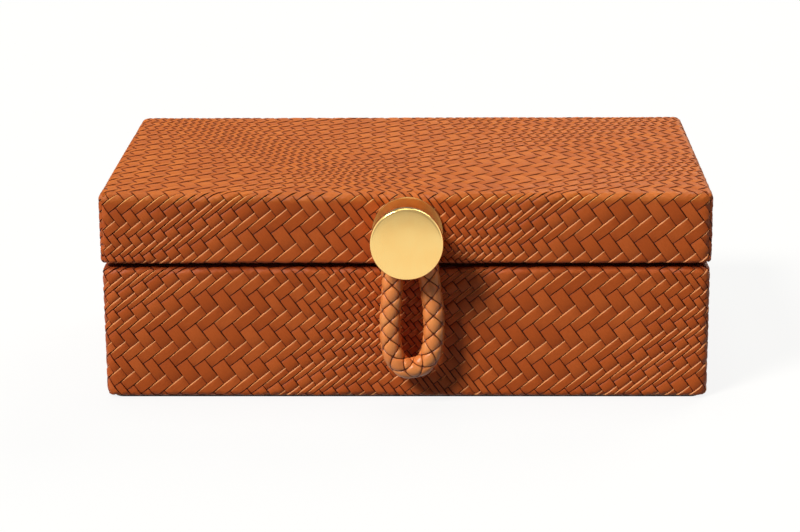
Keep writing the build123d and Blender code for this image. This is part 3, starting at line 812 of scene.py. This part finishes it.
def put_lid_top(flat):
    """Puts the sheet's middle on the lid, its corners squeezed into the rounded ones."""
    x, y = flat[:, 0].copy(), flat[:, 1].copy()
    core_x, core_y = lid_half_width - CORNER_RADIUS, lid_half_depth - CORNER_RADIUS
    over_x, over_y = np.abs(x) - core_x, np.abs(y) - core_y
    both = (over_x > 0) & (over_y > 0)
    reach = np.hypot(over_x, over_y)
    limit = CORNER_RADIUS - LID_TOP_ROUNDING
    squeeze = np.where(both & (reach > limit), limit / np.maximum(reach, TOUCHING), 1.0)
    x = np.where(both, np.sign(x) * (core_x + over_x * squeeze), x)
    y = np.where(both, np.sign(y) * (core_y + over_y * squeeze), y)
    return np.stack([x, y, lid_high.z + flat[:, 2] - STRIP_RELIEF + STRIP_PROUD], 1)


def flap_placer(axis, sign, edge, half_side, middle, heading):
    """A function that folds one flap's points down the lid's wall and in under its rim.

    middle is the place of the flap's middle on the outline, and heading is the way round it."""

    def put_lid_flap(flat):
        beside = flat[:, 1 - axis]
        inset, drop, slope = section(sign * flat[:, axis] - edge, flap_section)
        taper = np.clip((half_side - np.abs(beside)) / SEAM_TAPER, SEAM_LEAST, 1)
        proud = flat[:, 2] * taper - STRIP_RELIEF + STRIP_PROUD
        along, height = middle + heading * beside, lid_high.z - drop
        return on_wall(along, inset, height, -slope, proud, lid_half_width, lid_half_depth)

    return put_lid_flap


lid_reach_x = flat_half_width + flap_length
lid_reach_y = flat_half_depth + flap_length
# Strips that leave the front flap and run on over the top are narrow and even from there on.
lid_falling = dict(
    repeat=125.4 * MM, strips=32, swing=10.4 * MM, narrow_at=-45.4 * MM, lead=0.48,
    even_past=60.9 * MM, even_width=3.3 * MM,
)
lid_rising = dict(
    repeat=82.2 * MM, strips=24, swing=5.6 * MM, narrow_at=-94.6 * MM, lead=0.31,
    even_past=18.0 * MM, even_width=2.9 * MM,
)
LID_TWILL_SHIFT = 0
LID_SEED = 31
lid_span_low, lid_span_high = (-lid_reach_x, -lid_reach_y), (lid_reach_x, lid_reach_y)
lid_weave = woven_sheet(
    lid_falling, lid_rising, LID_TWILL_SHIFT, lid_span_low, lid_span_high, LID_SEED
)


def flap_cuts(axis, sign, edge, reach, half_side):
    """Cuts that leave one flap and put grid lines where its section starts to bend."""
    foot = top_bend + lid_drop
    bends = [top_bend / 3, top_bend * 2 / 3, top_bend, foot, foot + lid_rim_bend / 2]
    bends += [foot + lid_rim_bend]
    cuts = [
        (axis, sign * edge, -sign),
        (axis, sign * reach, sign),
        (1 - axis, -half_side, -1),
        (1 - axis, half_side, 1),
    ]
    return cuts + [(axis, sign * (edge + bend), 0) for bend in bends]


top_low, top_high = (-flat_half_width, -flat_half_depth), (flat_half_width, flat_half_depth)
top_sheet = sheet_mesh(lid_weave, top_low, top_high, side_cuts(top_low, top_high))
lid_sheets = [(top_sheet, put_lid_top)]
side_middle = lid_half_width - CORNER_RADIUS + CORNER_RADIUS * pi / 2 + lid_half_depth - CORNER_RADIUS
for axis, sign, middle, heading in (
    (1, -1, 0, 1),
    (1, 1, 2 * side_middle, -1),
    (0, -1, -side_middle, -1),
    (0, 1, side_middle, 1),
):
    edge = flat_half_depth if axis == 1 else flat_half_width
    half_side = flap_half_width if axis == 1 else flap_half_depth
    reach = edge + flap_length
    low, high = [-half_side, -half_side], [half_side, half_side]
    low[axis], high[axis] = (edge, reach) if sign > 0 else (-reach, -edge)
    flap_sheet = sheet_mesh(lid_weave, low, high, flap_cuts(axis, sign, edge, reach, half_side))
    lid_sheets.append((flap_sheet, flap_placer(axis, sign, edge, half_side, middle, heading)))
lid_cover = finish_cover("woven_lid_cover", lid_sheets, lid_weave, cover_leather)
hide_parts("lid_cover")
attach(lid_cover, "lid")

# ---------------------------------------------------------------- lid's inner edge
# The leather's margin, pared thin and smooth. It is turned up inside the rim and glued to the boards,
# and its raw edge is hidden behind the linings.
MARGIN_OUTER = (121.2 * MM, 70.4 * MM)
MARGIN_INNER = (120.52 * MM, 69.72 * MM)
MARGIN_FOOT = 59.15 * MM
MARGIN_TOP = 62.0 * MM
MARGIN_ROUNDING = 0.25 * MM


def face_outwards(piece):
    """Turns all faces of a closed piece outwards."""
    shaped = bmesh.new()
    shaped.from_mesh(piece.data)
    bmesh.ops.recalc_face_normals(shaped, faces=shaped.faces)
    shaped.to_mesh(piece.data)
    shaped.free()
    return piece


def square_ring(name, outer, inner, foot, top, rounding):
    """A flat-sided frame round the middle, its lower inner edge rounded."""
    outline = [(outer, foot), (outer, top), (inner, top), (inner, foot + rounding)]
    for turn in (radians(30), radians(60), radians(90)):
        back = rounding * (1 - cos(turn))
        outline.append(((inner[0] + back, inner[1] + back), foot + rounding * (1 - sin(turn))))
    points = []
    for (half_width, half_depth), z in outline:
        for x_sign, y_sign in ((-1, -1), (1, -1), (1, 1), (-1, 1)):
            points.append((x_sign * half_width, y_sign * half_depth, z))
    faces = []
    for i in range(len(outline)):
        j = (i + 1) % len(outline)
        for corner in range(4):
            beside = (corner + 1) % 4
            faces.append((4 * i + corner, 4 * i + beside, 4 * j + beside, 4 * j + corner))
    return face_outwards(mesh_piece(name, points, faces, smooth=False))


margin_leather = tan_leather(
    "margin_leather", (0.50, 0.12, 0.030), (0.42, 0.085, 0.018), (0.33, 0.060, 0.012), 0.5, 900, 0.00008
)
lid_margin = square_ring(
    "lid_cover_margin", MARGIN_OUTER, MARGIN_INNER, MARGIN_FOOT, MARGIN_TOP, MARGIN_ROUNDING
)
set_layer(lid_margin, "relief", "POINT", np.ones(len(lid_margin.data.vertices)))
lid_margin.data.materials.append(margin_leather)
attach(lid_margin, "lid")

# ---------------------------------------------------------------- knob
# A turned brass disc on a thin neck and a flat brass plate, held by a steel screw and washer from
# inside the lid. The disc is slightly domed, brushed up and down, with a rounded edge.
KNOB_CENTRE = (1.0 * MM, -76.2 * MM, 73.1 * MM)
DISC_PROFILE_MM = [
    (0, 18.0), (13.9, 18.0), (14.5, 18.12), (14.88, 18.5), (15.0, 19.0), (15.0, 20.9),
    (14.93, 21.3), (14.75, 21.62), (14.45, 21.86), (14.1, 21.97), (13.7, 22.01), (12.0, 22.12),
    (9.5, 22.24), (7.0, 22.33), (4.0, 22.38), (0, 22.40),
]
PLATE_PROFILE_MM = [(3.05, 0.0), (14.5, 0.0), (14.6, 0.1), (14.6, 1.65), (14.5, 1.78), (3.05, 1.8)]
LATHE_SIDES = 128
LATHE_SHARP = radians(35)


def turned(name, profile_mm, centre, sides):
    """A piece turned on a lathe about a line along Y, from (radius, forward) pairs in mm."""
    points, rows = [], []
    for radius, forward in profile_mm:
        rows.append(len(points))
        for step in range(sides if radius else 1):
            turn = 2 * pi * step / sides
            x, z = centre[0] + radius * MM * cos(turn), centre[2] + radius * MM * sin(turn)
            points.append((x, centre[1] - forward * MM, z))
    is_ring = profile_mm[0][0] > 0
    faces = []
    for i in range(len(profile_mm) - (0 if is_ring else 1)):
        j = (i + 1) % len(profile_mm)
        for step in range(sides):
            beside = (step + 1) % sides
            low = [rows[i] + step, rows[i] + beside] if profile_mm[i][0] else [rows[i]]
            high = [rows[j] + beside, rows[j] + step] if profile_mm[j][0] else [rows[j]]
            faces.append(low + high)
    piece = face_outwards(mesh_piece(name, points, faces))
    piece.data.set_sharp_from_angle(angle=LATHE_SHARP)
    return piece


def brushed_metal(name, dark, light, roughness, brush):
    """Satin metal: fine brush lines stretched by brush, and faint cloudy tarnish."""
    material, principled, add, feed = shader(name)
    place = add("TexCoord").outputs["Object"]
    stretched = add("Mapping", {"Vector": place, "Scale": brush})
    lines = add("TexNoise", {"Vector": stretched, "Scale": 1, "Detail": 6, "Roughness": 0.7})
    clouds = add("TexNoise", {"Vector": place, "Scale": 120, "Detail": 4})
    mixed = weighted_sum(add, (clouds, 0.5), (lines, 0.5))
    feed(
        principled,
        {
            "Base Color": ramp(add, mixed, [(0.35, dark), (0.65, light)]),
            "Metallic": 1,
            "Roughness": rescale(add, lines, 0, 1, roughness - 0.05, roughness + 0.05),
            "Normal": add("Bump", {"Height": lines, "Strength": 0.15, "Distance": 0.00003}),
        },
    )
    return material


def dress_nodes(material, *names):
    """Gives CAD nodes a finer material of the same finish."""
    for name in names:
        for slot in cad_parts[name].material_slots:
            slot.material = material


knob_brass = brushed_metal(
    "knob_brass", (0.99, 0.62, 0.205), (1.0, 0.69, 0.255), 0.19, (2600, 60, 90)
)
# Painted shade: the plate's brass is a darker copy of the disc's, for the shade and dark reflections it
# gets under the disc.
plate_brass = brushed_metal(
    "plate_brass", (0.63, 0.35, 0.10), (0.74, 0.44, 0.145), 0.36, (90, 90, 90)
)
knob_steel = brushed_metal(
    "knob_steel", (0.50, 0.50, 0.51), (0.62, 0.62, 0.63), 0.32, (700, 700, 700)
)
knob_disc = turned("knob_disc_turned", DISC_PROFILE_MM, KNOB_CENTRE, LATHE_SIDES)
knob_plate = turned("knob_plate_turned", PLATE_PROFILE_MM, KNOB_CENTRE, LATHE_SIDES)
for turned_piece, node_name, metal in (
    (knob_disc, "knob_disc", knob_brass),
    (knob_plate, "knob_flange", plate_brass),
):
    turned_piece.data.materials.append(metal)
    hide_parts(node_name)
    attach(turned_piece, "lid")
dress_nodes(knob_brass, "knob_neck")
dress_nodes(knob_steel, "knob_screw", "knob_washer")

# ---------------------------------------------------------------- boards
# Grey-brown fibreboard, five millimetres thick, cut square and glued into a tray for the base and
# another for the lid. The leather and the linings hide it all, apart from its cut edges.
BOARD_COLOURS = [(0.45, (0.22, 0.14, 0.085)), (0.65, (0.31, 0.21, 0.13)), (0.9, (0.38, 0.27, 0.18))]
fibreboard, principled, add, feed = shader("fibreboard")
place = add("TexCoord").outputs["Object"]
fibres = add("TexNoise", {"Vector": place, "Scale": 900, "Detail": 5})
specks = add("TexVoronoi", {"Vector": place, "Scale": 420})
mixed = add("Math", {0: specks, 1: 0.35, 2: fibres}, operation="MULTIPLY_ADD")
feed(
    principled,
    {
        "Base Color": ramp(add, mixed, BOARD_COLOURS),
        "Roughness": 0.92,
        "Specular IOR Level": 0.2,
        "Normal": add("Bump", {"Height": mixed, "Strength": 0.4, "Distance": 0.0001}),
    },
)
WALL_SIDES = ("front", "back", "left", "right")
dress_nodes(fibreboard, "base_floor_board", "lid_top_board")
for tray in ("base", "lid"):
    dress_nodes(fibreboard, *[f"{tray}_{side}_board" for side in WALL_SIDES])

# ---------------------------------------------------------------- suede linings
# Thin boards covered in dark brown suede line the walls, and a suede pad over thin foam is glued to
# the floor and another under the lid's top. The pads' edges are rolled and tucked by the walls.
PAD_THICKNESS = 3.0 * MM
PAD_CROWN = 0.5 * MM
PAD_EDGE = 2.6 * MM
PAD_RIPPLE = 0.16 * MM
PAD_CELLS = (110, 64)
PAD_FOOT_SHARE = 0.15
PAD_BODY_SHARE = 0.8
PAD_SHARP = radians(60)
PAD_WAVES = ((61, 47, 2.1), (83, 39, 1.7))
# Node, body, half width, half depth, seat and facing (up or down).
SUEDE_PADS = (
    ("base_floor_lining", "base", 118.3, 67.5, 7.2, 1),
    ("lid_top_lining", "lid", 118.8, 68.0, 82.7, -1),
)


def suede(name, dark, light):
    """Soft matt suede: a short nap with brushed patches, and a fine grain."""
    material, principled, add, feed = shader(name)
    place = add("TexCoord").outputs["Object"]
    patches = add("TexNoise", {"Vector": place, "Scale": 24, "Detail": 2, "Distortion": 0.3})
    nap = add("TexNoise", {"Vector": place, "Scale": 1500, "Detail": 3})
    mixed = weighted_sum(add, (patches, 0.3), (nap, 0.7))
    feed(
        principled,
        {
            "Base Color": ramp(add, mixed, [(0.36, dark), (0.64, light)]),
            "Roughness": 0.95,
            "Specular IOR Level": 0.15,
            "Sheen Weight": 0.2,
            "Sheen Roughness": 0.5,
            "Normal": add("Bump", {"Height": nap, "Strength": 0.5, "Distance": 0.00012}),
        },
    )
    return material


def suede_pad(name, half_width, half_depth, seat, facing):
    """A closed pad on a flat seat, crowned in the middle and rolled down at its edges."""
    columns, rows = PAD_CELLS
    x = -half_width * np.cos(pi * np.arange(columns + 1) / columns)
    y = -half_depth * np.cos(pi * np.arange(rows + 1) / rows)
    x, y = np.meshgrid(x, y)
    to_edge_x = np.clip((half_width - abs(x)) / PAD_EDGE, 0, 1)
    to_edge_y = np.clip((half_depth - abs(y)) / PAD_EDGE, 0, 1)
    roll = np.sqrt(1 - (1 - to_edge_x) ** 2) * np.sqrt(1 - (1 - to_edge_y) ** 2)
    crown = PAD_CROWN * (1 - (x / half_width) ** 2) * (1 - (y / half_depth) ** 2)
    (wave_x, cross_x, sway_x), (wave_y, cross_y, sway_y) = PAD_WAVES
    ripple = np.sin(x * wave_x + sway_x * np.sin(y * cross_x))
    ripple *= np.sin(y * wave_y + sway_y * np.sin(x * cross_y))
    depth = roll * (PAD_THICKNESS * PAD_BODY_SHARE + crown + PAD_RIPPLE * ripple)
    depth += PAD_THICKNESS * PAD_FOOT_SHARE
    top = np.stack([x, y, seat + facing * depth], -1).reshape(-1, 3)
    under = np.stack([x, y, np.full_like(x, seat)], -1).reshape(-1, 3)
    across = columns + 1
    under_quads = grid_quads(rows + 1, across)
    top_quads = np.roll(under_quads[:, ::-1], 1, axis=1)
    faces = np.stack([top_quads, under_quads + len(top)], 1).reshape(-1, 4).tolist()
    rim = list(range(across))
    rim += [row * across + columns for row in range(1, rows + 1)]
    rim += [rows * across + column for column in range(columns - 1, -1, -1)]
    rim += [row * across for row in range(rows - 1, 0, -1)]
    for a, b in zip(rim, rim[1:] + rim[:1]):
        faces.append((b, a, a + len(top), b + len(top)))
    piece = face_outwards(mesh_piece(name, np.concatenate([top, under]), faces))
    piece.data.set_sharp_from_angle(angle=PAD_SHARP)
    return piece


lining_suede = suede("lining_suede", (0.090, 0.046, 0.028), (0.185, 0.100, 0.062))
for tray in ("base", "lid"):
    dress_nodes(lining_suede, *[f"{tray}_{side}_lining" for side in WALL_SIDES])
for node_name, body, half_width, half_depth, seat, facing in SUEDE_PADS:
    pad = suede_pad(node_name + "_pad", half_width * MM, half_depth * MM, seat * MM, facing)
    pad.data.materials.append(lining_suede)
    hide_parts(node_name)
    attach(pad, body)

# ---------------------------------------------------------------- underside pad
# A sheet of dark brown suede over thin card. It is glued under the base, inside the leather's turned
# edge, and it keeps the box from scratching the desk.
underside_suede = suede("underside_suede", (0.065, 0.036, 0.024), (0.13, 0.075, 0.05))
dress_nodes(underside_suede, "underside_pad")

# ---------------------------------------------------------------- hinges and their screws
# Two small brass butt hinges at the back, sunk between the rims, with their leaves screwed to the
# boards' edges. Each leaf is held by two slotted countersunk screws, driven by hand.
SCREW_PLACES_MM = ((-84.0, 72.0), (-66.0, 72.0), (66.0, 72.0), (84.0, 72.0))
LOWER_HEAD_Z = 57.85 * MM
UPPER_HEAD_Z = 58.15 * MM
SCREW_SEED = 5
SCREW_SIDES = 24
THREADS = 9
THREAD_PITCH_MM = 0.62
SCREW_PROFILE_MM = [(0.0, 0.0), (1.38, 0.0), (1.5, -0.05), (0.8, -0.75), (0.8, -1.3)]
for thread in range(THREADS):
    down = THREAD_PITCH_MM * thread
    SCREW_PROFILE_MM += [(0.58, -1.5 - down), (0.8, -1.81 - down)]
SCREW_PROFILE_MM += [(0.5, -7.2), (0.0, -8.0)]
SLOT_SIZE = (3.4 * MM, 0.4 * MM, 0.6 * MM)


def screw_pattern():
    """One screw, point down, with its slot cut straight across a head at the origin."""
    screw = turned("screw_pattern", SCREW_PROFILE_MM, (0, 0, 0), SCREW_SIDES)
    screw.data.transform(Matrix.Rotation(-pi / 2, 4, "X"))
    cutter = bpy.data.objects.new("screw_slot", bpy.data.meshes.new("screw_slot"))
    bpy.context.collection.objects.link(cutter)
    block = bmesh.new()
    bmesh.ops.create_cube(block, size=1.0)
    bmesh.ops.scale(block, vec=SLOT_SIZE, verts=block.verts)
    block.to_mesh(cutter.data)
    block.free()
    cut = screw.modifiers.new("slot", "BOOLEAN")
    cut.operation = "DIFFERENCE"
    cut.solver = "EXACT"
    cut.object = cutter
    plain_mesh(screw)
    bpy.data.objects.remove(cutter)
    screw.data.set_sharp_from_angle(angle=LATHE_SHARP)
    return screw


def screws_tree():
    """Puts one screw on each point, turned over where asked, each slot at its own angle."""
    sockets = [("Screw", "Object"), ("Turn Over", "Float"), ("Seed", "Int"), ("Metal", "Material")]
    tree, given, add = geometry_tree("screws on points", sockets)
    screw = add("GeometryNodeObjectInfo", {"Object": given.outputs["Screw"]})
    any_angle = {"Max": pi, "Seed": given.outputs["Seed"]}
    spin = add("FunctionNodeRandomValue", any_angle, data_type="FLOAT")
    turn = add("CombineXYZ", {"X": given.outputs["Turn Over"], "Z": spin})
    on_points = {
        "Points": given.outputs["Geometry"],
        "Instance": screw.outputs["Geometry"],
        "Rotation": turn,
    }
    end_tree(add, add("GeometryNodeInstanceOnPoints", on_points), given.outputs["Metal"])
    return tree


hinge_brass = brushed_metal(
    "hinge_brass", (0.74, 0.47, 0.17), (0.86, 0.58, 0.25), 0.30, (60, 1800, 1800)
)
for side in ("left", "right"):
    dress_nodes(hinge_brass, f"hinge_{side}_lower_leaf", f"hinge_{side}_upper_leaf")
    dress_nodes(hinge_brass, f"hinge_{side}_pin")
screw_metal = brushed_metal(
    "screw_metal", (0.70, 0.45, 0.17), (0.82, 0.55, 0.24), 0.28, (500, 500, 500)
)
one_screw = screw_pattern()
one_tree = screws_tree()
for node_name, body, head_z, turn_over in (
    ("hinge_lower_screws", "base", LOWER_HEAD_Z, 0.0),
    ("hinge_upper_screws", "lid", UPPER_HEAD_Z, pi),
):
    places = [(x * MM, y * MM, head_z) for x, y in SCREW_PLACES_MM]
    screws = mesh_piece(node_name + "_turned", places, [])
    run_tree(
        screws, one_tree, screw=one_screw, turn_over=turn_over, seed=SCREW_SEED, metal=screw_metal
    )
    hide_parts(node_name)
    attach(screws, body)
bpy.data.objects.remove(one_screw)

# ---------------------------------------------------------------- floor and light
# A pale table whose near edge is out of sight, big lamps in front on the left, overhead and behind
# on the right, and a weak even light. The table is white to the eye and keeps the box's shadow.
TABLE_HALF_WIDTH = 6.0
TABLE_NEAR_EDGE = -0.50
TABLE_FAR_EDGE = 9.0
FRONT_COLOUR = (1.0, 0.96, 0.88)
TOP_COLOUR = (0.99, 1.0, 0.85)
# Name, height, turn to the left, power, spread and colour.
LAMPS = (
    ("front_lamp", radians(42), radians(43), 2.75, radians(16), FRONT_COLOUR),
    ("overhead_lamp", radians(80), radians(160), 0.9, radians(30), TOP_COLOUR),
    ("back_lamp", radians(38), radians(-150), 1.0, radians(30), TOP_COLOUR),
)
ROOM_STRENGTH = 0.045
TABLE_SHADES = [(0.0, (0.08, 0.08, 0.08)), (1.0, (0.94, 0.94, 0.94))]
TABLE_OWN_WHITE = 0.86
table_paint, principled, add, feed = shader("studio_table")
path = add("LightPath").outputs
seen = add("Math", {0: path["Is Camera Ray"], 1: path["Is Glossy Ray"]}, operation="MAXIMUM")
table_colour = ramp(add, seen, TABLE_SHADES)
feed(principled, {"Base Color": table_colour, "Roughness": 0.9, "Specular IOR Level": 0.1})
own_share = weighted_sum(add, (seen, TABLE_OWN_WHITE))
both = add("MixShader", {"Fac": own_share, 1: principled, 2: add("Emission")})
feed(table_paint.node_tree.nodes["Material Output"], {"Surface": both})
table_corners = [
    (-TABLE_HALF_WIDTH, TABLE_NEAR_EDGE, 0),
    (TABLE_HALF_WIDTH, TABLE_NEAR_EDGE, 0),
    (TABLE_HALF_WIDTH, TABLE_FAR_EDGE, 0),
    (-TABLE_HALF_WIDTH, TABLE_FAR_EDGE, 0),
]
table = mesh_piece("studio_table", table_corners, [(0, 1, 2, 3)], smooth=False)
table.data.materials.append(table_paint)

# The polished brass mirrors a room that is bright low in front and at both sides. The leather is lit
# by a weak even light, and the backdrop is white.
FRONT_GLOWS = (1.0, 0.45)
FRONT_FADE = (-0.32, -0.04)
BACKDROP_GLOW = 0.26
BACKDROP_FADE = (-0.2, 0.4)
SIDE_GLOW = 0.7
SIDE_FADE = (0.60, 0.92)
world = bpy.data.worlds.new("studio")
bpy.context.scene.world = world
world.use_nodes = True
add, feed = node_tools(world.node_tree)
path = add("LightPath").outputs
way = add("SeparateXYZ", {0: add("TexCoord").outputs["Generated"]}).outputs
front_glow = rescale(add, way["Z"], *FRONT_FADE, *FRONT_GLOWS)
front_to_back = rescale(add, way["Y"], *BACKDROP_FADE, front_glow, BACKDROP_GLOW)
to_side = add("Math", {0: way["X"]}, operation="ABSOLUTE")
side_glow = rescale(add, to_side, *SIDE_FADE, 0, SIDE_GLOW)
all_round = add("Math", {0: front_to_back, 1: side_glow})
in_gloss = rescale(add, path["Is Glossy Ray"], 0, 1, ROOM_STRENGTH, all_round)
strength = rescale(add, path["Is Camera Ray"], 0, 1, in_gloss, 1)
feed(world.node_tree.nodes["Background"], {"Color": (1, 1, 1, 1), "Strength": strength})

for name, height, from_left, power, spread, colour in LAMPS:
    lamp = bpy.data.lights.new(name, "SUN")
    lamp.energy = power
    lamp.angle = spread
    lamp.color = colour
    holder = bpy.data.objects.new(name, lamp)
    to_lamp = Vector((-sin(from_left) * cos(height), -cos(from_left) * cos(height), sin(height)))
    holder.matrix_world = to_lamp.to_track_quat("Z", "Y").to_matrix().to_4x4()
    bpy.context.collection.objects.link(holder)
bpy.context.scene.view_settings.view_transform = "Standard"
